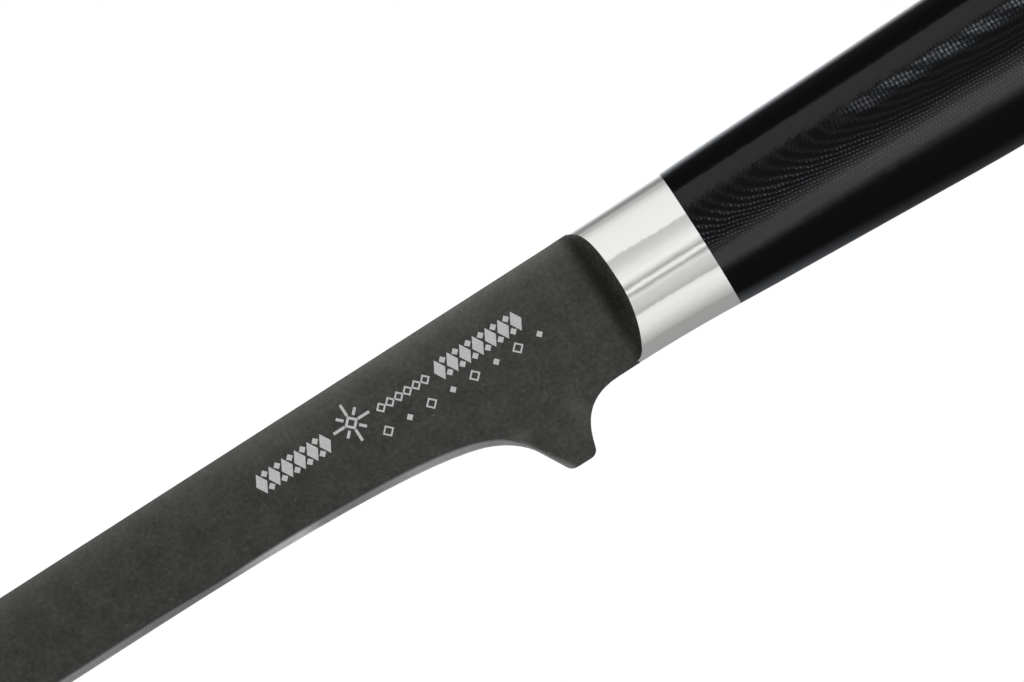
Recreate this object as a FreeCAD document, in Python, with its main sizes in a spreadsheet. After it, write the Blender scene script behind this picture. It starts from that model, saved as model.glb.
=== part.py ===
import FreeCAD, Part
import os
import re
import Sketcher
from FreeCAD import Placement, Rotation, Vector

# A boning knife lying on its right side: +X runs from the tip to the butt, +Y from the cutting edge
# to the spine and +Z up through the thickness. The frame's origin is at the middle of the knife's
# footprint. Every piece is drawn in a local frame whose origin is where the blade enters the
# handle, on the line of the spine and on the middle plane of the blade.

SIZES = {
    # The whole knife
    "overall_length": 290, "handle_length": 125, "spine_level": 15.15, "mid_height": 9.7,
    # Blade outline: distances forward of the local origin and depths below the spine
    "blade_thick": 2.0, "edge_depth": 17.1, "tip_drop": 3.5, "sweep_end": 112, "curve_start": 88,
    "sweep_steep": 13, "sweep_depth": 11.5, "sweep_flat": 136, "spine_steep": 0.9,
    "belly_lead": 68.3, "belly_turn": 40.1, "belly_turn_depth": 17.6,
    "choil_at": 30, "choil_depth": 21.2, "choil_lead": 2.65, "choil_lead_depth": 0.95,
    "lug_front": 23.3, "lug_front_depth": 26.4, "lug_lead": 1.25, "lug_lead_depth": 2.3,
    "lug_toe": 20.48, "lug_back": 15.78, "lug_depth": 31.5, "lug_corner": 1.5, "lug_bevel": 0.45,
    "notch_start": 15.4, "notch_depth": 30.2, "notch_lead": 14.6, "notch_lead_depth": 27.3,
    "notch_turn": 13.0, "notch_end": 6.5, "heel_depth": 23.05,
    # Stub tang behind the blade's shoulder
    "shoulder": -2.5, "tang_top": 4, "tang_low": 19, "tang_end": 24, "tang_half": 0.94,
    "spine_round": 0.35,
    # Grinds, as rise of the blade's side for each millimetre away from the edge
    "cutter_height": 1.2, "edge_half": 0.2, "grind_slope": 0.05, "bevel_slope": 0.2,
    "bevel_lead": 2.4, "bevel_fade": 2.3, "bevel_end": 1.7, "bevel_last": 0.8,
    "runout_start": 75, "runout_end": 23, "runout_depth": 17.4,
    # How far cutting shapes run past what they cut: a little, and right through the knife
    "margin": 3, "reach": 60,
    # Bolster
    "bolster_front": 6, "bolster_middle": 4.4, "bolster_back": 15.8,
    "flare_start": 4.1, "flare_radius": 3.2, "flare_angle": 62, "flare_lip": 0.08, "flare_lead": 0.68,
    # Oval sections of the bolster and the handle, from front to back: top above and belly below
    # the spine line, half thickness, and how full the section is towards its top and its belly
    "widest_depth": 10.6, "side_fullness": 0.55,
    "front_top": 0.05, "front_low": 23.05, "front_half": 7.7, "front_crown": 0.79, "front_keel": 0.3,
    "middle_top": 0.08, "middle_low": 23.15, "middle_half": 7.95, "middle_crown": 0.77, "middle_keel": 0.3,
    "joint_top": 0.15, "joint_low": 23.75, "joint_half": 8.25, "joint_crown": 0.75, "joint_keel": 0.3,
    "fore_top": 0.6, "fore_low": 25.2, "fore_half": 9.1, "fore_crown": 0.75, "fore_keel": 0.26,
    "grip_top": 0.98, "grip_low": 26.5, "grip_half": 9.6, "grip_crown": 0.75, "grip_keel": 0.24,
    "palm_top": 1.2, "palm_low": 26.9, "palm_half": 9.7, "palm_crown": 0.75, "palm_keel": 0.24,
    "rear_top": 0.4, "rear_low": 26.5, "rear_half": 9.6, "rear_crown": 0.75, "rear_keel": 0.26,
    "beak_top": -1.3, "beak_low": 28.2, "beak_half": 9.4, "beak_crown": 0.75, "beak_keel": 0.3,
    "end_top": -4.2, "end_low": 30.2, "end_half": 9.2, "end_crown": 0.75, "end_keel": 0.3,
    # Where the handle's sections stand behind the local origin, and its butt
    "fore_at": 38.75, "grip_at": 60, "palm_at": 80, "rear_at": 100, "beak_at": 114, "end_at": 128,
    "butt_slant": 3, "butt_over": 1, "butt_round": 5,
    # Round rod welded to the stub tang, in the channel milled into the two handle halves
    "rod_radius": 2.5, "rod_depth": 11.5, "rod_end": 104, "bed_radius": 3.2, "bed_end": 105.5,
    "bed_gap": 1.0, "weld_leg": 1.8, "weld_inset": 1.0, "rod_weld_length": 2.6,
    "rod_weld_front": 1.3,
    # Alignment dowels between the handle halves
    "dowel_radius": 1.5, "dowel_half": 4.5, "dowel_at": 112, "dowel_depth": 9, "dowel_pitch": 10,
}

STATIONS = ["joint", "fore", "grip", "palm", "rear", "beak", "end"]

# For finding edges: how upright and how near they have to be, and what counts as touching
UPRIGHT = 0.9
NEARBY = 0.5
TOUCHING = 0.01

document = FreeCAD.newDocument("boning_knife")
sheet = document.addObject("Spreadsheet::Sheet", "Sizes")
for row, (name, size) in enumerate(SIZES.items(), start=1):
    sheet.set("A%d" % row, name)
    sheet.set("B%d" % row, str(size))
    sheet.setAlias("B%d" % row, name)
document.recompute()


def bound(text):
    """An expression in which each name of SIZES points at its cell."""
    return re.sub(r"[a-z]\w*", lambda word: "Sizes." + word[0] if word[0] in SIZES else word[0], text)


def value(text):
    """The number that an expression gives now, to start a sketch near its solution."""
    result = sheet.evalExpression(bound(text))
    return float(getattr(result, "Value", result))


def bind(thing, prop, text):
    thing.setExpression(prop, bound(text))


def stand(piece, shift_x="0", shift_y="0", shift_z="0"):
    """Puts a piece drawn in the local frame where that frame is in the knife's own."""
    bind(piece, "Placement.Base.x", "overall_length / 2 - handle_length + (%s)" % shift_x)
    bind(piece, "Placement.Base.y", "spine_level + (%s)" % shift_y)
    bind(piece, "Placement.Base.z", "mid_height + (%s)" % shift_z)
    return piece


def new_body(name):
    body = document.addObject("PartDesign::Body", name)
    body.Label = name
    return stand(body)


def origin_plane(body, role):
    return [feature for feature in body.Origin.OriginFeatures if feature.Role == role][0]


def draw(body, name, role, offset, runs):
    """A closed sketch made of runs, each starting where the one before ends.

    A run of two points is a straight line and a run of four is one cubic curve with those poles.
    Each point is a pair of expressions, and the sketch is dimensioned from its origin.
    """
    sketch = body.newObject("Sketcher::SketchObject", name)
    sketch.AttachmentSupport = [(origin_plane(body, role), "")]
    sketch.MapMode = "FlatFace"
    bind(sketch, "AttachmentOffset.Base.z", offset)
    curves = []
    for run in runs:
        points = [Vector(value(x), value(y), 0) for x, y in run]
        if len(run) == 2:
            curves.append(sketch.addGeometry(Part.LineSegment(*points), False))
        else:
            curve = Part.BSplineCurve()
            curve.buildFromPolesMultsKnots(points, [4, 4], [0.0, 1.0], False, 3)
            curves.append(sketch.addGeometry(curve, False))
    for number, index in enumerate(curves):
        following = curves[(number + 1) % len(curves)]
        sketch.addConstraint(Sketcher.Constraint("Coincident", index, 2, following, 1))
    for number, run in enumerate(runs):
        if len(run) == 4:
            first_pole = sketch.GeometryCount
            sketch.exposeInternalGeometry(curves[number])
            for pole in (1, 2):
                fix(sketch, first_pole + pole, 3, run[pole])
        fix(sketch, curves[number], 1, run[0])
    return sketch


def fix(sketch, geometry, end, point):
    for axis, text in zip(("DistanceX", "DistanceY"), point):
        number = sketch.addConstraint(
            Sketcher.Constraint(axis, -1, 1, geometry, end, value(text)))
        name = "%s%d" % ("across" if axis == "DistanceX" else "up", number)
        sketch.renameConstraint(number, name)
        bind(sketch, "Constraints." + name, text)


def lines(*points):
    return [[first, second] for first, second in zip(points, points[1:])]


def loft(body, kind, name, sections, ruled):
    feature = body.newObject("PartDesign::" + kind, name)
    feature.Profile = (sections[0], [""])
    feature.Sections = [(section, [""]) for section in sections[1:]]
    feature.Ruled = ruled
    feature.Refine = False
    for section in sections:
        section.Visibility = False
    return feature


def extrude(body, kind, name, sketch, length, both_ways=False, reversed_way=False):
    feature = body.newObject("PartDesign::" + kind, name)
    feature.Profile = sketch
    bind(feature, "Length", length)
    if both_ways:
        feature.SideType = "Symmetric"
    feature.Reversed = reversed_way
    feature.Refine = False
    return feature


def round_edges(body, name, radius, chosen):
    """A fillet on those edges of the body's present shape that chosen(edge) accepts."""
    document.recompute()
    base = body.Tip
    found = ["Edge%d" % number for number, edge in enumerate(base.Shape.Edges, 1) if chosen(edge)]
    if not found:
        raise RuntimeError(name + " found no edges")
    feature = body.newObject("PartDesign::Fillet", name)
    feature.Base = (base, found)
    bind(feature, "Radius", radius)
    feature.Refine = False
    return feature


def mirror_whole(body, name):
    """Completes a piece drawn as its upper half with the same half below the middle plane."""
    document.recompute()
    feature = body.newObject("PartDesign::Mirrored", name)
    feature.TransformMode = "Whole shape"
    feature.MirrorPlane = (origin_plane(body, "XY_Plane"), [""])
    feature.Refine = False
    body.Tip = feature
    return feature


def near(edge, x, y):
    """Whether a more or less upright edge stands at this place of the local frame."""
    middle = edge.valueAt((edge.FirstParameter + edge.LastParameter) / 2)
    upright = abs(edge.tangentAt(edge.FirstParameter).z) > UPRIGHT
    return upright and abs(middle.x - value(x)) < NEARBY and abs(middle.y - value(y)) < NEARBY


# Blade: a flat-ground blade with a finger lug, and a stub tang behind its shoulder

TIP = ("handle_length - overall_length", "-tip_drop")


def edge_outline(lift, lead, fade, end, last, front):
    """The outline below which the blade is cut away, from the tip back to the heel.

    lift raises the cutting edge, which gives the edge bevel its slope. The bevel narrows towards
    the lug, where the other amounts raise the outline less and less, and front sets the front of
    the lug back to ease its corner.
    """
    def raised(point, by):
        return (point[0], "%s + %s" % (point[1], by))

    def set_back(point):
        return ("%s + %s" % (point[0], front), point[1])

    before_tip = ("handle_length - overall_length - margin",
                  "-tip_drop + margin * (sweep_depth - tip_drop) / sweep_steep")
    sweep = [raised(point, lift) for point in (
        TIP, ("handle_length - overall_length + sweep_steep", "-sweep_depth"),
        ("-sweep_flat", "-edge_depth"), ("-sweep_end", "-edge_depth"))]
    belly = [raised(("-curve_start", "-edge_depth"), lift), raised(("-belly_lead", "-edge_depth"), lead),
             raised(("-belly_turn", "-belly_turn_depth"), fade), raised(("-choil_at", "-choil_depth"), end)]
    choil = [belly[-1],
             raised(("-choil_at + choil_lead", "-choil_depth - choil_lead_depth"), end),
             raised(("-lug_front - lug_lead", "-lug_front_depth + lug_lead_depth"), last),
             set_back(("-lug_front", "-lug_front_depth"))]
    notch = [("-notch_start", "-notch_depth"), ("-notch_lead", "-notch_lead_depth"),
             ("-notch_turn", "-heel_depth"), ("-notch_end", "-heel_depth")]
    lug = lines(choil[-1], set_back(("-lug_toe", "-lug_depth")), ("-lug_back", "-lug_depth"), notch[0])
    below = lines(notch[-1], ("tang_end + margin", "-heel_depth"), ("tang_end + margin", "-reach"),
                  (before_tip[0], "-reach"), raised(before_tip, lift))
    start = [raised(before_tip, lift), sweep[0]]
    return [start, sweep, [sweep[-1], belly[0]], belly, choil] + lug + [notch] + below


def flat_grind_outline(lift):
    """The line that one level of the flat grind follows, over the ground length of the blade."""
    sweep = [("handle_length - overall_length", "-tip_drop + " + lift),
             ("handle_length - overall_length + sweep_steep", "-sweep_depth + " + lift),
             ("-sweep_flat", "-edge_depth + " + lift), ("-sweep_end", "-edge_depth + " + lift)]
    ends = lines(sweep[-1], ("-runout_start", "-runout_depth + " + lift),
                 ("-runout_start", "-reach"),
                 ("handle_length - overall_length - margin", "-reach"),
                 ("handle_length - overall_length - margin", "-tip_drop + " + lift), sweep[0])
    return [sweep] + ends


def make_blade():
    body = new_body("blade")
    spine = [TIP, ("handle_length - overall_length + sweep_steep", "-spine_steep"),
             ("-sweep_flat", "0"), ("-sweep_end", "0")]
    before_tip = ("handle_length - overall_length - margin",
                  "-tip_drop - margin * (tip_drop - spine_steep) / sweep_steep")
    rest = lines(spine[-1], ("shoulder", "0"), ("shoulder", "-tang_top"), ("tang_end", "-tang_top"),
                 ("tang_end", "-tang_low"), ("shoulder", "-tang_low"), ("shoulder", "-lug_depth - margin"),
                 (before_tip[0], "-lug_depth - margin"), before_tip, TIP)
    blank = draw(body, "blank_outline", "XY_Plane", "0", [spine] + rest)
    extrude(body, "Pad", "half_blank", blank, "blade_thick / 2")
    top = value("blade_thick / 2")
    round_edges(body, "spine_rounding", "spine_round", lambda edge: (
        all(abs(vertex.Point.z - top) < TOUCHING for vertex in edge.Vertexes)
        and edge.BoundBox.YMin > value("-tip_drop") - TOUCHING
        and edge.BoundBox.XMax < value("shoulder") + TOUCHING
        and edge.BoundBox.XLength > value("2 * margin")))

    low = draw(body, "grind_at_middle", "XY_Plane", "0", flat_grind_outline("(-edge_half / grind_slope)"))
    high = draw(body, "grind_at_side", "XY_Plane", "cutter_height",
                flat_grind_outline("(cutter_height - edge_half) / grind_slope"))
    loft(body, "SubtractiveLoft", "flat_grind", [low, high], True)

    # The grind runs out towards the lug: its slope turns into the blade's flat side.
    top_of_grind = "(-runout_depth + (cutter_height - edge_half) / grind_slope)"
    foot_of_grind = "(-runout_depth - edge_half / grind_slope)"
    begin = draw(body, "runout_begin", "YZ_Plane", "-runout_start", lines(
        (foot_of_grind, "0"), (top_of_grind, "cutter_height"), ("-reach", "cutter_height"),
        ("-reach", "0"), (foot_of_grind, "0")))
    finish = draw(body, "runout_finish", "YZ_Plane", "-runout_end", lines(
        (foot_of_grind, "blade_thick / 2 + flare_lip"), (top_of_grind, "cutter_height"),
        ("-reach", "cutter_height"), ("-reach", "blade_thick / 2 + flare_lip"),
        (foot_of_grind, "blade_thick / 2 + flare_lip")))
    loft(body, "SubtractiveLoft", "grind_runout", [begin, finish], True)

    lower = draw(body, "edge_at_middle", "XY_Plane", "0", edge_outline("0", "0", "0", "0", "0", "0"))
    upper = draw(body, "edge_at_side", "XY_Plane", "cutter_height",
                 edge_outline("cutter_height / bevel_slope", "bevel_lead", "bevel_fade", "bevel_end",
                              "bevel_last", "lug_bevel"))
    loft(body, "SubtractiveLoft", "edge_and_bevel", [lower, upper], True)
    round_edges(body, "lug_rounding", "lug_corner", lambda edge: (
        near(edge, "-lug_toe", "-lug_depth") or near(edge, "-lug_back", "-lug_depth")))

    # The tang and the heel inside the bolster are ground a little thinner than the blade.
    seat = draw(body, "tang_seat_outline", "XY_Plane", "tang_half", lines(
        ("-flare_start", "margin"), ("tang_end + margin", "margin"), ("tang_end + margin", "-lug_depth"),
        ("-flare_start", "-lug_depth"), ("-flare_start", "margin")))
    extrude(body, "Pocket", "tang_seat", seat, "margin", reversed_way=True)
    mirror_whole(body, "both_sides")
    return body


# Bolster and handle share an oval section, full towards the spine and rounder at the belly


def half_oval(name):
    """The upper half of the oval section with this name in SIZES."""
    top, low, half = name + "_top", name + "_low", name + "_half"
    crown, keel = name + "_crown", name + "_keel"
    upper = [(top, "0"), (top, "%s * %s" % (crown, half)),
             ("-widest_depth + (%s + widest_depth) * %s" % (top, crown), half), ("-widest_depth", half)]
    lower = [("-widest_depth", half), ("-widest_depth - side_fullness * (%s - widest_depth)" % low, half),
             ("-" + low, "%s * %s" % (keel, half)), ("-" + low, "0")]
    return [upper, lower, [lower[-1], upper[0]]]


def make_bolster():
    body = new_body("bolster")
    ends = [("front", "-bolster_front"), ("middle", "bolster_middle"), ("joint", "bolster_back")]
    sections = [draw(body, "bolster_" + name, "YZ_Plane", place, half_oval(name)) for name, place in ends]
    loft(body, "AdditiveLoft", "half_collar", sections, False)

    # The flare: a round sweep up from the blade's side that runs into a straight steep slope.
    lip = "blade_thick / 2 + flare_lip"
    turn = "(flare_radius * sin(flare_angle * 1deg))"
    rise = "(%s + flare_radius * (1 - cos(flare_angle * 1deg)))" % lip
    slope_top = "-flare_start + %s + (reach - %s) / tan(flare_angle * 1deg)" % (turn, rise)
    lead = "flare_radius * tan(flare_angle * 1deg / 2) * flare_lead"
    sweep = [("-flare_start", lip), ("-flare_start + " + lead, lip),
             ("-flare_start + %s - %s * cos(flare_angle * 1deg)" % (turn, lead),
              "%s - %s * sin(flare_angle * 1deg)" % (rise, lead)),
             ("-flare_start + " + turn, rise)]
    outside = lines(sweep[-1], (slope_top, "reach"), ("-reach", "reach"), ("-reach", "0"),
                    ("-flare_start", "0"), sweep[0])
    profile = draw(body, "flare_profile", "XZ_Plane", "0", [sweep] + outside)
    extrude(body, "Pocket", "flare", profile, "reach", both_ways=True)

    # The blade's heel stands between the cheeks of the flare, and its stub tang goes through.
    heel = draw(body, "heel_slot_outline", "XY_Plane", "0", lines(
        ("-reach", "margin"), ("shoulder", "margin"), ("shoulder", "-tang_top"),
        ("bolster_back + margin", "-tang_top"), ("bolster_back + margin", "-tang_low"),
        ("shoulder", "-tang_low"), ("shoulder", "-lug_depth"), ("-reach", "-lug_depth"),
        ("-reach", "margin")))
    extrude(body, "Pocket", "slot", heel, "tang_half", reversed_way=True)
    mirror_whole(body, "both_sides")
    return body


def make_handle_blank():
    """The upper half of the handle, on the knife's left, before its hidden channel is milled."""
    body = new_body("handle_blank")
    places = {name: name + "_at" for name in STATIONS}
    places["joint"] = "bolster_back"
    sections = [draw(body, "handle_" + name, "YZ_Plane", places[name], half_oval(name))
                for name in STATIONS]
    loft(body, "AdditiveLoft", "half_grip", sections, False)
    butt = draw(body, "butt_line", "XY_Plane", "0", lines(
        ("handle_length - butt_slant", "margin"), ("handle_length + butt_over", "-lug_depth"),
        ("handle_length + reach", "-lug_depth"), ("handle_length + reach", "margin"),
        ("handle_length - butt_slant", "margin")))
    extrude(body, "Pocket", "butt", butt, "reach", reversed_way=True)
    round_edges(body, "butt_rounding", "butt_round", lambda edge: (
        edge.BoundBox.XMin > value("handle_length - butt_slant - butt_over")
        and edge.BoundBox.ZMax > value("butt_over")))
    return body


# Hidden pieces


def cylinder(name, radius, start, end, depth):
    """A round bar along the handle, from start to end, at a depth below the spine line."""
    bar = document.addObject("Part::Cylinder", name)
    bind(bar, "Radius", radius)
    bind(bar, "Height", "%s - %s" % (end, start))
    bar.Placement = Placement(Vector(), Rotation(Vector(0, 1, 0), 90))
    return stand(bar, start, "-" + depth)


def join(name, kind, pieces):
    group = document.addObject(kind, name)
    setattr(group, "Links" if kind == "Part::Compound" else "Shapes", pieces)
    group.Label = name
    return group


def subtract(name, base, tool):
    cut = document.addObject("Part::Cut", name)
    cut.Base = base
    cut.Tool = tool
    cut.Label = name
    return cut


def make_tang_rod():
    rod = cylinder("tang_rod", "rod_radius", "tang_end", "rod_end", "rod_depth")
    rod.Label = "tang_rod"
    return rod


def make_bed():
    """The channel between the handle halves: a room for the stub tang and a bore for the rod."""
    room = document.addObject("Part::Box", "tang_room")
    bind(room, "Length", "tang_end + bed_gap - bolster_back")
    bind(room, "Width", "tang_low - tang_top + 2 * bed_gap")
    bind(room, "Height", "2 * bed_radius")
    stand(room, "bolster_back", "-tang_low - bed_gap", "-bed_radius")
    bore = cylinder("rod_bore", "bed_radius", "tang_end", "bed_end", "rod_depth")
    return join("tang_bed", "Part::MultiFuse", [room, bore])


def make_bolster_weld():
    """A quarter-round bead on each side of the stub tang, against the bolster's back."""
    beads = []
    for side in (1, -1):
        bead = document.addObject("Part::Cylinder", "bead")
        bind(bead, "Radius", "weld_leg")
        bind(bead, "Height", "tang_low - tang_top - 2 * weld_inset")
        bead.Angle = 90
        lower_quarter = 0 if side > 0 else -90
        bead.Placement = Placement(
            Vector(), Rotation(Vector(1, 0, 0), 90).multiply(Rotation(Vector(0, 0, 1), lower_quarter)))
        stand(bead, "bolster_back", "-tang_top - weld_inset", "%d * tang_half" % side)
        beads.append(bead)
    return join("bolster_weld", "Part::Compound", beads)


def make_rod_weld(blade):
    """A bead on each side of the stub tang, where the rod's end is welded to it."""
    cone = document.addObject("Part::Cone", "rod_bead")
    bind(cone, "Radius1", "rod_weld_front")
    bind(cone, "Radius2", "rod_radius")
    bind(cone, "Height", "rod_weld_length")
    cone.Placement = Placement(Vector(), Rotation(Vector(0, 1, 0), 90))
    stand(cone, "tang_end - rod_weld_length", "-rod_depth")
    return subtract("tang_rod_weld", cone, blade)


def make_dowels():
    pins = []
    for number in (0, 1):
        pin = document.addObject("Part::Cylinder", "dowel")
        bind(pin, "Radius", "dowel_radius")
        bind(pin, "Height", "2 * dowel_half")
        stand(pin, "dowel_at", "-dowel_depth - %d * dowel_pitch" % number, "-dowel_half")
        pins.append(pin)
    return join("handle_dowels", "Part::Compound", pins)


def make_handle(bed, dowels):
    """Two mirrored halves, each with its half of the channel and of the dowel holes."""
    holes = join("handle_holes", "Part::MultiFuse", [bed, dowels])
    left = subtract("handle_left", make_handle_blank(), holes)
    right = document.addObject("Part::Mirroring", "handle_right")
    right.Source = left
    right.Normal = Vector(0, 0, 1)
    bind(right, "Base.z", "mid_height")
    right.Label = "handle_right"
    return [left, right]


def make_adhesive(bed, held):
    """The epoxy that fills the channel round the tang."""
    return subtract("tang_adhesive", bed, join("held_in_adhesive", "Part::MultiFuse", held))


blade = make_blade()
bolster = make_bolster()
rod = make_tang_rod()
bolster_weld = make_bolster_weld()
rod_weld = make_rod_weld(blade)
dowels = make_dowels()
bed = make_bed()
halves = make_handle(bed, dowels)
adhesive = make_adhesive(bed, [blade, bolster_weld, rod, rod_weld])
pieces = [blade, bolster, bolster_weld, rod, rod_weld, dowels, adhesive] + halves
document.recompute()

for thing in document.Objects:
    if "Invalid" in thing.State or "Error" in thing.State:
        raise RuntimeError("%s failed: %s" % (thing.Name, thing.State))
for piece in pieces:
    if piece.Shape.isNull() or not piece.Shape.isValid():
        raise RuntimeError(piece.Label + " has no valid shape")

os.makedirs("parts", exist_ok=True)
for piece in pieces:
    piece.Shape.exportStep("parts/" + piece.Label + ".step")
    print(piece.Label, "solids", len(piece.Shape.Solids), "volume %.1f" % piece.Shape.Volume)
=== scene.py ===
import math

import bmesh
import bpy
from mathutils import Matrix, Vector
from mathutils.bvhtree import BVHTree


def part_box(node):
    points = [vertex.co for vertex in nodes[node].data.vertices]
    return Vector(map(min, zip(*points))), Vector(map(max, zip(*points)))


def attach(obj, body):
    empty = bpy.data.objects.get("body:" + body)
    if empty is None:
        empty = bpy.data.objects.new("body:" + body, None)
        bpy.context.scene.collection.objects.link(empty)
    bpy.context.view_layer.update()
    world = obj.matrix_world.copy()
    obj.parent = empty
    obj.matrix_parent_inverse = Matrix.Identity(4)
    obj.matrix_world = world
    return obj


# Looks of a boning knife that lies on its side. The frame's +X runs from the tip to the butt,
# +Y from the cutting edge to the spine and +Z up, in metres. Places on the knife are given in
# millimetres, as local() and Place say.

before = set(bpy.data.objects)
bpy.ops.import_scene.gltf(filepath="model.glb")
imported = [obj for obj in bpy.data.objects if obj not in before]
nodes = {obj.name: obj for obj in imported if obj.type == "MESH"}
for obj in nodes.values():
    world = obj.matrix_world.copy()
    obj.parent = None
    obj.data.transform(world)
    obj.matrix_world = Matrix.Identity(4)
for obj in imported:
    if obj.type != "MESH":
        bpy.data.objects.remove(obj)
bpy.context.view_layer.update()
scene = bpy.context.scene

MM = 0.001

# ---------------------------------------------------------------- places taken from the frame

blade_low, blade_high = (Vector(corner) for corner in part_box("blade"))
bolster_low = Vector(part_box("bolster")[0])

# The blade's middle plane, the line of its spine and where it enters the handle, which the
# bolster's flare reaches forward of
FLARE_REACH = 4.1 * MM
MIDDLE = (blade_low.z + blade_high.z) / 2
SPINE = blade_high.y
ENTRY = bolster_low.x + FLARE_REACH

# How far the knife is turned up to the right, as the camera sees it
KNIFE_ANGLE = math.radians(32.7)


def local(x, y, z=0.0):
    """A point given in millimetres behind the blade's entry, above the spine and above the middle."""
    return Vector((ENTRY + x * MM, SPINE + y * MM, MIDDLE + z * MM))


# ---------------------------------------------------------------- camera, floor and light


def make_camera():
    """Looks straight down on the heel of the blade, turned so that the knife rises to the right."""
    data = bpy.data.cameras.new("camera")
    camera = bpy.data.objects.new("camera", data)
    scene.collection.objects.link(camera)
    height = 0.79
    view_width = 0.160
    data.sensor_width = 36
    data.lens = data.sensor_width * height / view_width
    camera.location = local(-17.5, -9.4) + Vector((0, 0, height))
    camera.rotation_euler = (0, 0, -KNIFE_ANGLE)
    scene.camera = camera


# Brightness of the studio by its angle about the knife's axis, in degrees from straight up
# towards the spine's side: one broad light on that side, and narrower ones towards the belly's
# side with darker gaps between them.
STUDIO = [
    (-180, 0.46), (-93, 0.46), (-86, 0.60), (-79, 0.76), (-68, 1.02), (-57, 1.14), (-51, 1.07),
    (-49.5, 0.60), (-41, 0.78), (-34, 0.84), (-29, 0.99), (-24, 0.48), (-19, 1.30), (-14, 0.50),
    (-8, 1.00), (-5, 1.19), (1, 1.16), (5, 0.86), (11, 0.70), (12.5, 1.18), (43, 1.14), (60, 1.10),
    (75, 0.93), (84, 0.80), (93, 0.66), (180, 0.66),
]

# Its brightness towards the knife's two ends, and how far along the axis a direction has to point
# for that to begin and to be complete
STUDIO_ENDS = 0.75
ENDS_BEGIN, ENDS_FULL = 0.6, 0.95

# What a shiny surface sees of the floor, by the distance beyond the spine in millimetres
FLOOR_GLOW = [(-60, 0.36), (-24, 0.34), (0, 0.5), (0.5, 1.3), (4, 1.1), (9, 0.62), (15, 0.28), (26, 0.28),
              (60, 0.5)]

# Half the floor's width, in metres
FLOOR_HALF = 4


def link(tree, source, target):
    tree.links.new(source, target)


def math_node(tree, operation, first, second=None):
    node = tree.nodes.new("ShaderNodeMath")
    node.operation = operation
    for socket, value in zip(node.inputs, (first, second)):
        if value is None:
            continue
        if isinstance(value, (int, float)):
            socket.default_value = value
        else:
            link(tree, value, socket)
    return node.outputs[0]


class Value:
    """A number that varies over a surface, so that shader sums can be written as formulas."""

    def __init__(self, tree, socket):
        self.tree = tree
        self.socket = socket

    def _do(self, operation, first, second=None):
        first = getattr(first, "socket", first)
        second = getattr(second, "socket", second)
        return Value(self.tree, math_node(self.tree, operation, first, second))

    def __add__(self, other):
        return self._do("ADD", self, other)

    def __sub__(self, other):
        return self._do("SUBTRACT", self, other)

    def __mul__(self, other):
        return self._do("MULTIPLY", self, other)

    def __rsub__(self, other):
        return self._do("SUBTRACT", other, self)

    def sine(self):
        return self._do("SINE", self)

    def size(self):
        return self._do("ABSOLUTE", self)

    def exponential(self):
        return self._do("EXPONENT", self)

    def step(self, low, high, to_low=0.0, to_high=1.0):
        """Goes smoothly from to_low to to_high while this goes from low to high."""
        mapped = map_range(self.tree, self.socket, low, high, to_low, to_high, smooth=True)
        return Value(self.tree, mapped)

    def ramp(self, stops):
        """Takes this from stop to stop, each a pair of this value and the result."""
        first, last = stops[0][0], stops[-1][0]
        peak = max(value for place, value in stops)
        scaled = [((place - first) / (last - first), value / peak) for place, value in stops]
        along = map_range(self.tree, self.socket, first, last)
        return Value(self.tree, ramp_node(self.tree, along, scaled)) * peak


class Place:
    """Where a point of the surface is: millimetres behind the blade's entry, above the spine and
    above or below the middle."""

    def __init__(self, tree):
        self.tree = tree
        self.vector = tree.nodes.new("ShaderNodeTexCoord").outputs["Object"]
        parts = tree.nodes.new("ShaderNodeSeparateXYZ")
        link(tree, self.vector, parts.inputs[0])
        self.x, self.y, self.z = (
            (Value(tree, parts.outputs[axis]) - origin) * (1 / MM)
            for axis, origin in (("X", ENTRY), ("Y", SPINE), ("Z", MIDDLE)))

    def noise(self, grain, detail=2.0, roughness=0.5, scale=(1, 1, 1), turn=0.0):
        """Noise whose features are about grain millimetres across, finer where scale is larger."""
        vector = stretched(self.tree, self.vector, scale, turn)
        return Value(self.tree, noise(self.tree, vector, grain * MM, detail, roughness))

    def patch(self, x, y, width, height):
        """A soft round patch about a place, from 1 in its middle to 0."""
        across = (self.x - x) * (1 / width)
        up = (self.y - y) * (1 / height)
        return (0.0 - (across * across + up * up)).exponential()


def ramp_node(tree, factor, stops):
    node = tree.nodes.new("ShaderNodeValToRGB")
    ramp = node.color_ramp
    while len(ramp.elements) < len(stops):
        ramp.elements.new(0.5)
    for element, (place, value) in zip(ramp.elements, stops):
        element.position = place
        element.color = (value, value, value, 1)
    link(tree, factor, node.inputs[0])
    return node.outputs[0]


def map_range(tree, value, low, high, to_low=0.0, to_high=1.0, smooth=False):
    node = tree.nodes.new("ShaderNodeMapRange")
    node.interpolation_type = "SMOOTHSTEP" if smooth else "LINEAR"
    link(tree, value, node.inputs["Value"])
    for name, number in (("From Min", low), ("From Max", high), ("To Min", to_low), ("To Max", to_high)):
        node.inputs[name].default_value = number
    return node.outputs["Result"]


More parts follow.
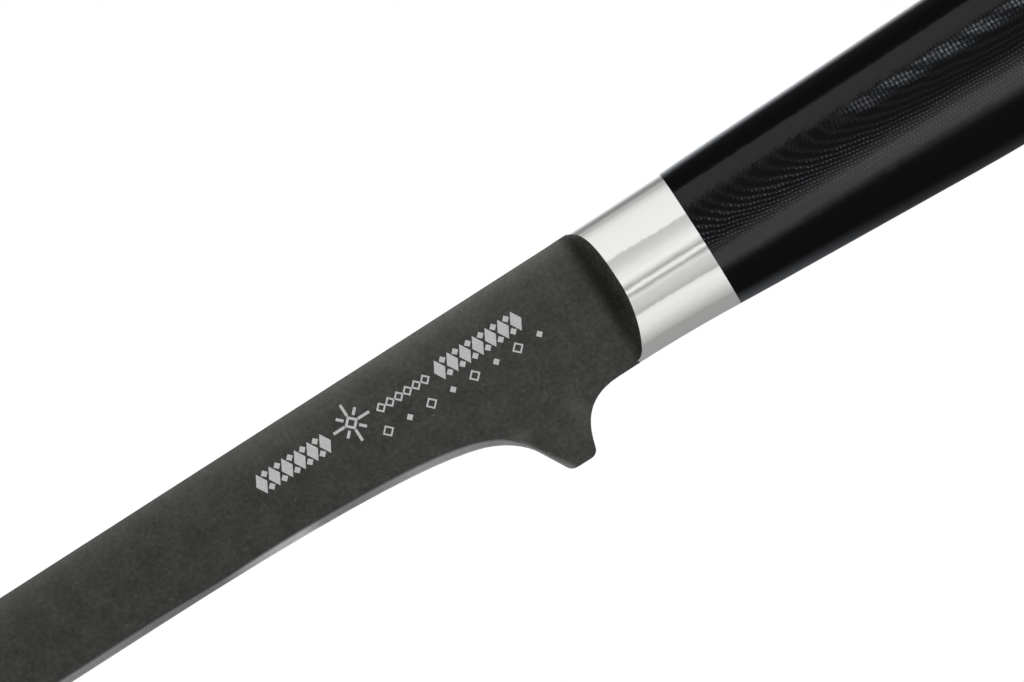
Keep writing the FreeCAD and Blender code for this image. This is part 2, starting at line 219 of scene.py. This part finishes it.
def make_world():
    """White to the camera, and bands of studio light about the knife's axis to the surfaces."""
    world = bpy.data.worlds.new("studio")
    scene.world = world
    world.use_nodes = True
    tree = world.node_tree
    tree.nodes.clear()
    direction = tree.nodes.new("ShaderNodeTexCoord").outputs["Generated"]
    parts = tree.nodes.new("ShaderNodeSeparateXYZ")
    link(tree, direction, parts.inputs[0])
    angle = math_node(tree, "ARCTAN2", parts.outputs["Y"], parts.outputs["Z"])
    turn = map_range(tree, angle, -math.pi, math.pi)
    peak = max(value for place, value in STUDIO)
    stops = [((degrees + 180) / 360, value / peak) for degrees, value in STUDIO]
    around = math_node(tree, "MULTIPLY", ramp_node(tree, turn, stops), peak)
    along = math_node(tree, "ABSOLUTE", parts.outputs["X"])
    ends = map_range(tree, along, ENDS_BEGIN, ENDS_FULL, smooth=True)
    mix = tree.nodes.new("ShaderNodeMix")
    mix.data_type = "FLOAT"
    link(tree, ends, mix.inputs["Factor"])
    link(tree, around, mix.inputs["A"])
    mix.inputs["B"].default_value = STUDIO_ENDS
    background = tree.nodes.new("ShaderNodeBackground")
    link(tree, mix.outputs["Result"], background.inputs["Strength"])
    plain = tree.nodes.new("ShaderNodeBackground")
    plain.inputs["Strength"].default_value = 1.0
    ray = tree.nodes.new("ShaderNodeLightPath")
    choice = tree.nodes.new("ShaderNodeMixShader")
    link(tree, ray.outputs["Is Camera Ray"], choice.inputs[0])
    link(tree, background.outputs[0], choice.inputs[1])
    link(tree, plain.outputs[0], choice.inputs[2])
    output = tree.nodes.new("ShaderNodeOutputWorld")
    link(tree, choice.outputs[0], output.inputs["Surface"])


def make_softbox(name, angle, spread, radiance, receivers):
    """A long softbox beside the knife, at an angle in degrees from straight up about its axis."""
    distance = 1.2
    length = 2.4
    data = bpy.data.lights.new(name, "AREA")
    data.shape = "RECTANGLE"
    data.size = length
    data.size_y = 2 * distance * math.tan(math.radians(spread / 2))
    data.energy = radiance * math.pi * data.size * data.size_y
    light = bpy.data.objects.new(name, data)
    scene.collection.objects.link(light)
    tilt = math.radians(angle)
    handle_side = local(40, -11, 8)
    light.location = handle_side + distance * Vector((0, math.sin(tilt), math.cos(tilt)))
    light.rotation_euler = (-tilt, 0, 0)
    light.visible_camera = False
    data.diffuse_factor = 0
    light.light_linking.receiver_collection = receivers


def make_floor():
    """White to the camera. What surfaces see of it is bright just beyond the spine, else dimmer."""
    mesh = bpy.data.meshes.new("floor")
    corners = [(FLOOR_HALF * x, FLOOR_HALF * y, 0) for x, y in ((-1, -1), (1, -1), (1, 1), (-1, 1))]
    mesh.from_pydata(corners, [], [(0, 1, 2, 3)])
    floor = bpy.data.objects.new("floor", mesh)
    scene.collection.objects.link(floor)
    material = bpy.data.materials.new("floor_white")
    material.use_nodes = True
    tree = material.node_tree
    tree.nodes.clear()
    place = Place(tree)
    first, last = FLOOR_GLOW[0][0], FLOOR_GLOW[-1][0]
    stops = [((distance - first) / (last - first), value) for distance, value in FLOOR_GLOW]
    seen = ramp_node(tree, map_range(tree, place.y.socket, first, last), stops)
    reflected = tree.nodes.new("ShaderNodeEmission")
    link(tree, seen, reflected.inputs["Strength"])
    direct = tree.nodes.new("ShaderNodeEmission")
    direct.inputs["Strength"].default_value = 1.0
    ray = tree.nodes.new("ShaderNodeLightPath")
    choice = tree.nodes.new("ShaderNodeMixShader")
    link(tree, ray.outputs["Is Camera Ray"], choice.inputs[0])
    link(tree, reflected.outputs[0], choice.inputs[1])
    link(tree, direct.outputs[0], choice.inputs[2])
    output = tree.nodes.new("ShaderNodeOutputMaterial")
    link(tree, choice.outputs[0], output.inputs["Surface"])
    mesh.materials.append(material)


# ---------------------------------------------------------------- materials


def new_material(name, color, metallic, roughness):
    material = bpy.data.materials.new(name)
    material.use_nodes = True
    shader = material.node_tree.nodes["Principled BSDF"]
    shader.inputs["Base Color"].default_value = (*color, 1)
    shader.inputs["Metallic"].default_value = metallic
    shader.inputs["Roughness"].default_value = roughness
    return material, material.node_tree, shader


def noise(tree, vector, grain, detail=2.0, roughness=0.5):
    node = tree.nodes.new("ShaderNodeTexNoise")
    node.inputs["Scale"].default_value = 1 / grain
    node.inputs["Detail"].default_value = detail
    node.inputs["Roughness"].default_value = roughness
    link(tree, vector, node.inputs["Vector"])
    return node.outputs["Fac"]


def stretched(tree, vector, scale, turn=0.0):
    node = tree.nodes.new("ShaderNodeMapping")
    node.inputs["Scale"].default_value = scale
    node.inputs["Rotation"].default_value = (0, 0, turn)
    link(tree, vector, node.inputs["Vector"])
    return node.outputs["Vector"]


def tint(factor, color):
    """A colour scaled by a factor that varies over the surface."""
    tree = factor.tree
    node = tree.nodes.new("ShaderNodeVectorMath")
    node.operation = "SCALE"
    node.inputs[0].default_value = color
    link(tree, factor.socket, node.inputs["Scale"])
    return node.outputs["Vector"]


def bump(height, strength, distance):
    tree = height.tree
    node = tree.nodes.new("ShaderNodeBump")
    node.inputs["Strength"].default_value = strength
    node.inputs["Distance"].default_value = distance
    link(tree, height.socket, node.inputs["Height"])
    return node.outputs["Normal"]


STONEWASH = (0.062, 0.061, 0.0575)

# Places where tumbling has worn the blade lighter: x, y, width, height and how much
WORN_PLACES = [
    (-25.4, -23.0, 2.8, 1.0, 0.5), (-14.6, -24.4, 1.5, 3.6, 0.42), (-20.0, -31.0, 1.6, 1.1, 0.35),
    (-13.8, -29.4, 0.9, 1.8, 0.45), (-60, -3.0, 9.0, 1.6, 0.14), (-74, -5.5, 6.0, 2.0, 0.10),
]

# A place close to the lug's front, near its toe, and the direction from there back into the lug
LUG_FRONT = (-20.8, -30.5)
INTO_LUG = (0.847, 0.531)


def stonewash_factor(place):
    """How light the tumbled steel is: mottle, faint patches, small nicks, lighter towards the spine,
    and a painted highlight along the front of the lug."""
    mottle = place.noise(0.7, 4, 0.68).step(0.24, 0.76, 0.78, 1.24)
    patches = place.noise(3.6, 3, 0.6).step(0.25, 0.75, 0.87, 1.13)
    nicks = place.noise(1.1, 1.5, 0.6, (1, 2.6, 1), 0.7).step(0.70, 0.78, 0.0, 0.9)
    # Lighter towards the spine, and more so nearer the handle
    lighter_to_spine = ((place.y + 0.35) * 0.5).exponential() * place.x.step(-90, -15, 0.95, 1.35)
    behind_front = (place.x - LUG_FRONT[0]) * INTO_LUG[0] + (place.y - LUG_FRONT[1]) * INTO_LUG[1]
    low_down = place.y.step(-24.2, -22.8, 0.9, 0.0)
    forward = place.x.step(-19.6, -18.8, 1.0, 0.0)
    # Painted highlight: the front edge of the lug is lightened as if its rounded edge caught the light
    lug_edge_highlight = behind_front.step(0.15, 0.9, 1.7, 0.0) * low_down * forward
    factor = mottle * patches + nicks + lighter_to_spine + lug_edge_highlight
    for x, y, width, height, amount in WORN_PLACES:
        factor = factor + place.patch(x, y, width, height) * amount
    return factor * place.x.step(-80, -20, 0.93, 1.04)


def finish_stonewash(tree, shader, factor, place):
    link(tree, tint(factor, STONEWASH), shader.inputs["Base Color"])
    link(tree, place.noise(0.6, 3).step(0.3, 0.7, 0.38, 0.52).socket, shader.inputs["Roughness"])
    link(tree, bump(place.noise(0.3, 3), 0.25, 0.02 * MM), shader.inputs["Normal"])


def make_stonewash():
    material, tree, shader = new_material("stonewashed_steel", STONEWASH, 1.0, 0.45)
    place = Place(tree)
    finish_stonewash(tree, shader, stonewash_factor(place), place)
    return material


def make_flare_with_painted_shade():
    """The same dark finish on the bolster's front, with painted shade: darkest in the hollow of its
    sweep, and painted light up its slope and towards the belly."""
    material, tree, shader = new_material("stonewashed_flare_painted_shade", STONEWASH, 1.0, 0.45)
    place = Place(tree)
    # Painted shade darkest in the hollow of the sweep, and painted light up its slope
    rise = place.x.ramp([(-4.1, 1.0), (-3.4, 1.0), (-2.9, 0.86), (-2.4, 0.70), (-1.9, 0.68), (-1.5, 1.0),
                         (-1.0, 1.2), (-0.2, 1.3), (0.3, 1.55), (0.8, 1.9), (1.4, 2.8)])
    # Painted light towards the belly
    belly = place.x.step(-2.6, -0.6) * place.y.step(-20, -13, 0.6, 0.0)
    finish_stonewash(tree, shader, stonewash_factor(place) * rise * (belly + 1.0), place)
    return material


def make_ground_edge():
    """The cutting bevel: bright steel ground across, which meets the dark side in a soft line. It is
    brightest some 60 mm before the handle, and it has a lighter part by the lug."""
    material, tree, shader = new_material("ground_edge", (0.2, 0.2, 0.2), 1.0, 0.34)
    place = Place(tree)
    rise = tree.nodes.new("ShaderNodeAttribute")
    rise.attribute_name = "rise"
    up = Value(tree, rise.outputs["Fac"])
    along = place.x.ramp([(-145, 0.30), (-96, 0.30), (-88, 0.23), (-76, 0.23), (-71, 0.45), (-66, 0.56),
                          (-61.5, 0.60), (-57.5, 0.30), (-52, 0.25), (-46, 0.29), (-41, 0.36), (-32, 0.32),
                          (-26, 0.30), (-22, 0.24)])
    facet = up.ramp([(0, 1.25), (0.12, 1.0), (0.42, 0.9), (0.5, 1.0), (0.62, 0.96), (0.76, 0.6),
                     (0.88, 0.3), (1, 0.16)])
    streaks = place.noise(0.8, 2, 0.5, (6, 0.5, 1)).step(0.3, 0.7, 0.93, 1.07)
    lug = place.x.step(-29, -26, 0.0, 0.24)
    link(tree, tint(along * facet * streaks + lug, (1, 1, 0.995)), shader.inputs["Base Color"])
    return material


def make_polish():
    """Polished steel with faint lines of the last grit along the knife."""
    material, tree, shader = new_material("polished_steel", (0.90, 0.896, 0.886), 1.0, 0.05)
    place = Place(tree)
    link(tree, place.noise(0.14, 3, 0.5, (0.03, 1, 1)).step(0.3, 0.7, 0.035, 0.07).socket,
         shader.inputs["Roughness"])
    return material


# Black glass-cloth laminate: the colours of its resin and its glass
RESIN = (0.0004, 0.0004, 0.0004)
GLASS = (0.91, 0.975, 1.09)

# Its layers: how thick one is in millimetres, how much they rise and bow along the handle, and how
# much they rise towards the spine
LAYER = 0.19
LEAN_ALONG, BOW, LEAN_ACROSS = 0.056, 0.0003, 0.14

# Spacings in millimetres: the threads that break the contours into dots, those of the woven
# patches, and the patches themselves
STRAND, PICK = 0.66, 0.8
PATCH_STRAND, PATCH_PICK = 0.7, 0.78
PATCH_PITCH = 7.5

# The levels, in millimetres above the spine, where the cloth and its relief begin
CLOTH_TOP = -6.6
RELIEF_TOP = -5.2

TURN = 2 * math.pi


def cut_layers(place):
    """The layers lie nearly level, so the rounded side cuts them in contour lines that the weave
    disturbs: how the contours rise and fall, the weave, and how the layers wander."""
    x, y = place.x, place.y
    level = place.z.size() + x * LEAN_ALONG - x * x * BOW + y * LEAN_ACROSS
    wander = place.noise(7, 2).step(0.2, 0.8, -0.35, 0.35)
    weave = (x * (TURN / STRAND)).sine() * (y * (math.pi / PICK)).sine()
    phase = (level * (1 / LAYER) + wander + weave * 0.10) * TURN
    return phase.sine(), weave, wander


def visible_cloth(place, wave, weave, wander):
    """How much glass shows. It shows only where the side is nearly level: as soft lines, with dots
    in the lower part, and with woven patches along the top towards the middle of the grip."""
    x, y = place.x, place.y
    from_top = y - CLOTH_TOP
    foot = x.ramp([(15, -14.6), (30, -15.4), (45, -17.4), (80, -18.8), (130, -18.8)])
    zone = from_top.step(-0.5, 0.15, 1.0, 0.0) * (y - foot).step(-1.0, 1.4)

    lines = wave.step(-0.2, 1.0)
    dots_top = x.ramp([(15, -9.0), (35, -10.5), (55, -13.2), (80, -13.8), (130, -13.8)])
    crown = weave.step(-0.1, 0.9, 0.10, 1.0)
    dots = lines * crown * (y - dots_top).step(-1.2, 1.2, 1.0, 0.1)

    strands = (x * (TURN / PATCH_STRAND) + wander * 3).sine().step(-0.6, 0.5, 0.15, 1.0)
    picks = (y * (TURN / PATCH_PICK) + x * 1.1).sine().step(-0.9, 0.3, 0.3, 1.0)
    patches = (x * (TURN / PATCH_PITCH) + y * 1.7 + wander * 2).sine().step(-0.95, 0.2, 0.2, 1.0)
    ragged = place.noise(0.45, 2).step(0.38, 0.6, 0.3, 1.2)
    growing = x.ramp([(41, 0.0), (52, 0.8), (64, 1.1), (130, 1.1)])
    woven = patches * strands * picks * ragged * growing * from_top.step(-2.9, -1.2)
    return (dots * 0.011 + lines * 0.00064 + woven * 0.027 + 0.0006) * zone


def painted_rim_on_flanks(place):
    """The handle's narrow sides are lighter at the joint of its halves, most by far on the spine's
    side. This stands in for a rim of reflected light, and it shows from every side."""
    x, y = place.x, place.y
    height = place.z.size()
    spine_side = height.step(0.6, 5.3, 0.2, 0.0) * y.step(-12, -6)
    belly_side = height.step(1.0, 3.5, 0.014, 0.0) * y.step(-16, -12, 1.0, 0.0)
    return spine_side + belly_side * x.step(16, 50, 1.0, 0.3)


def make_laminate():
    """The handle's laminate, with the relief of its cut layers and a painted rim of reflected light."""
    material, tree, shader = new_material("cloth_laminate", RESIN, 0.0, 0.15)
    shader.inputs["Specular IOR Level"].default_value = 0.09
    shader.inputs["Specular Tint"].default_value = (0.30, 0.302, 0.308, 1)
    place = Place(tree)
    wave, weave, wander = cut_layers(place)
    # The glass of the cloth, plus the painted rim of reflected light on the narrow sides
    cloth_and_painted_rim = visible_cloth(place, wave, weave, wander) + painted_rim_on_flanks(place)
    mix = tree.nodes.new("ShaderNodeMix")
    mix.data_type = "RGBA"
    mix.inputs["A"].default_value = (*RESIN, 1)
    mix.inputs["B"].default_value = (*GLASS, 1)
    link(tree, cloth_and_painted_rim.socket, mix.inputs["Factor"])
    link(tree, mix.outputs["Result"], shader.inputs["Base Color"])
    from_top = place.y - RELIEF_TOP
    relief = wave * from_top.step(-0.9, 0.0, 1.0, 0.0) * from_top.step(-6.5, -3.5)
    link(tree, bump(relief, 1.0, 0.008 * MM), shader.inputs["Normal"])
    return material


def make_plain_steel():
    """Unfinished steel inside the handle."""
    material, tree, shader = new_material("welded_steel", (0.35, 0.34, 0.33), 1.0, 0.45)
    link(tree, Place(tree).noise(0.8, 3).step(0.3, 0.7, 0.35, 0.6).socket, shader.inputs["Roughness"])
    return material


def make_epoxy():
    """Dark cured epoxy, faintly cloudy."""
    dark = (0.03, 0.028, 0.024)
    material, tree, shader = new_material("cured_epoxy", dark, 0.0, 0.4)
    cloud = Place(tree).noise(3, 3).step(0.3, 0.7, 0.7, 1.3)
    link(tree, tint(cloud, dark), shader.inputs["Base Color"])
    return material


def make_dowel_stock():
    """Black rod with a grain along its length."""
    material, tree, shader = new_material("dowel_stock", (0.02, 0.02, 0.02), 0.0, 0.5)
    grain = Place(tree).noise(0.4, 2, 0.5, (1, 1, 0.1)).step(0.3, 0.7, 0.8, 1.2)
    link(tree, tint(grain, (0.02, 0.02, 0.021)), shader.inputs["Base Color"])
    return material


def make_etch():
    """Laser etching: a frosted pale grey."""
    material, tree, shader = new_material("etched_steel", (0.6, 0.6, 0.6), 0.0, 0.6)
    shader.inputs["Specular IOR Level"].default_value = 0.2
    frost = Place(tree).noise(0.3, 3).step(0.3, 0.7, 0.9, 1.06)
    link(tree, tint(frost, (0.60, 0.60, 0.595)), shader.inputs["Base Color"])
    return material


# ---------------------------------------------------------------- finishes on the CAD nodes


def dress(name, *materials):
    mesh = nodes[name].data
    mesh.materials.clear()
    for material in materials:
        mesh.materials.append(material)
    return mesh


# Half the blade's thickness where the bevel meets the side, in millimetres: the least, the most,
# where it reaches the most, and how much it grows before that for each millimetre
THIN, FULL = 0.28, 1.0
FULL_AT, GROWTH = -26.8, 0.0151


def bevel_top(x):
    behind = (x - ENTRY) / MM - FULL_AT
    return min(max(FULL + GROWTH * behind, THIN), FULL) * MM


def dress_blade(stonewash, ground_edge):
    """Gives the cutting bevel its own finish, and says how far up the bevel each corner is. The
    bevel's faces look down and forward, and are neither level like the side nor upright."""
    mesh = dress("blade", stonewash, ground_edge)
    rise = mesh.attributes.new("rise", "FLOAT", "CORNER")
    lug_back, lug_top = local(-17.5, -20).xy
    for face in mesh.polygons:
        normal = face.normal
        downward = normal.y < 0 or (normal.x < 0 and face.center.y < lug_top)
        sloping = math.hypot(normal.x, normal.y) > 0.12 and abs(normal.z) > 0.15
        if downward and sloping and face.center.x < lug_back:
            face.material_index = 1
        for corner in face.loop_indices:
            place = mesh.vertices[mesh.loops[corner].vertex_index].co
            rise.data[corner].value = min(abs(place.z - MIDDLE) / bevel_top(place.x), 1.0)


def dress_bolster(polish, flare_wash_and_shade):
    """The dark finish of the blade, with its painted shade and light, runs on up the bolster's flared
    front, but not round its rim on the belly's side."""
    mesh = dress("bolster", polish, flare_wash_and_shade)
    sweep_end, rim_top = local(-1.2, -21).xy
    for face in mesh.polygons:
        flare = face.center.x < sweep_end or face.normal.x < -0.3
        belly_rim = face.normal.y < -0.45 and face.center.y < rim_top
        if flare and not belly_rim:
            face.material_index = 1


# ---------------------------------------------------------------- etched marks


class Marks:
    """Plain geometric marks, laid just above the blade's left side."""

    def __init__(self, clearance):
        self.form = bmesh.new()
        self.clearance = clearance
        blade = bmesh.new()
        blade.from_mesh(nodes["blade"].data)
        self.side = BVHTree.FromBMesh(blade)
        blade.free()

    def vertex(self, x, y):
        above = local(x, y, 5)
        hit = self.side.ray_cast(above, Vector((0, 0, -1)))[0]
        return self.form.verts.new((above.x, above.y, hit.z + self.clearance))

    def ribbon(self, points, width, closed=False):
        """A line of even width through the points, with mitred corners."""
        count = len(points)
        sides = []
        for index, (x, y) in enumerate(points):
            before = points[index - 1] if index or closed else None
            after = points[(index + 1) % count] if index < count - 1 or closed else None
            ways = []
            if before:
                ways.append(Vector((x - before[0], y - before[1])).normalized())
            if after:
                ways.append(Vector((after[0] - x, after[1] - y)).normalized())
            way = sum(ways, Vector((0, 0))).normalized()
            reach = width / 2 / max(0.35, way.dot(ways[0]))
            across = Vector((-way.y, way.x)) * reach
            sides.append((self.vertex(x + across.x, y + across.y), self.vertex(x - across.x, y - across.y)))
        steps = count if closed else count - 1
        for index in range(steps):
            one, two = sides[index], sides[(index + 1) % count]
            self.form.faces.new((one[0], one[1], two[1], two[0]))

    def face(self, points):
        self.form.faces.new([self.vertex(x, y) for x, y in points])

    def lozenge(self, x, y, half_width, half_height):
        """A filled lozenge."""
        self.face([(x - half_width, y), (x, y - half_height), (x + half_width, y), (x, y + half_height)])

    def diamond(self, x, y, size, width):
        """The outline of a square that stands on its corner."""
        self.ribbon([(x - size, y), (x, y + size), (x + size, y), (x, y - size)], width, True)

    def braid(self, start, end, y, pitch=2.35):
        """Filled lozenges in a row, with pairs of small ones above and below between them."""
        count = int((end - start) / pitch)
        for number in range(count):
            x = start + (number + 0.5) * pitch
            self.lozenge(x, y, 1.0, 1.75)
            if number < count - 1:
                self.lozenge(x + pitch / 2, y + 1.15, 0.62, 0.62)
                self.lozenge(x + pitch / 2, y - 1.15, 0.62, 0.62)

    def rosette(self, x, y, rays=8):
        """A diamond with long and short rays in turn about it."""
        for ray in range(rays):
            angle = 2 * math.pi * ray / rays
            reach = 3.3 if ray % 2 == 0 else 2.5
            self.ribbon([(x + away * math.cos(angle), y + away * math.sin(angle))
                         for away in (1.25, reach)], 0.46)
        self.diamond(x, y, 0.95, 0.42)

    def finish(self, name, material):
        mesh = bpy.data.meshes.new(name)
        bmesh.ops.recalc_face_normals(self.form, faces=self.form.faces)
        self.form.to_mesh(mesh)
        self.form.free()
        for face in mesh.polygons:
            if face.normal.z < 0:
                face.flip()
        mesh.materials.append(material)
        piece = bpy.data.objects.new(name, mesh)
        scene.collection.objects.link(piece)
        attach(piece, "root")


def etch_marks(material):
    """A band of plain shapes with a rosette in it, and a spaced row of small shapes below."""
    marks = Marks(0.015 * MM)
    band, row = -7.1, -10.8
    chain_start, chain_pitch = -40.3, 1.62
    row_start, row_pitch = -41.3, 4.0
    marks.braid(-63.6, -49.2, band)
    marks.rosette(-45.5, -6.6)
    for number in range(6):
        marks.diamond(chain_start + number * chain_pitch, band, 0.72, 0.28)
    marks.braid(-30.6, -12.7, band)
    for number in range(8):
        x = row_start + number * row_pitch
        if number % 2 == 0:
            marks.diamond(x, row, 0.85, 0.26)
        else:
            marks.lozenge(x, row, 0.62, 0.62)
    marks.finish("etched_marks", material)


# ---------------------------------------------------------------- run

make_camera()
make_world()
make_floor()
scene.view_settings.view_transform = "Standard"

laminate = make_laminate()
dress_blade(make_stonewash(), make_ground_edge())
dress_bolster(make_polish(), make_flare_with_painted_shade())
dress("handle_left", laminate)
dress("handle_right", laminate)
dress("handle_dowels", make_dowel_stock())
dress("tang_adhesive", make_epoxy())
plain_steel = make_plain_steel()
for name in ("tang_rod", "tang_rod_weld", "bolster_weld"):
    dress(name, plain_steel)
etch_marks(make_etch())

handle_only = bpy.data.collections.new("handle_light_receivers")
for name in ("handle_left", "handle_right"):
    handle_only.objects.link(nodes[name])
make_softbox("softbox_spine_side", 31.5, 30, 11.2, handle_only)
make_softbox("softbox_belly_side", -43.5, 19, 12.0, handle_only)
make_softbox("softbox_belly_fill", -41, 34, 6.0, handle_only)
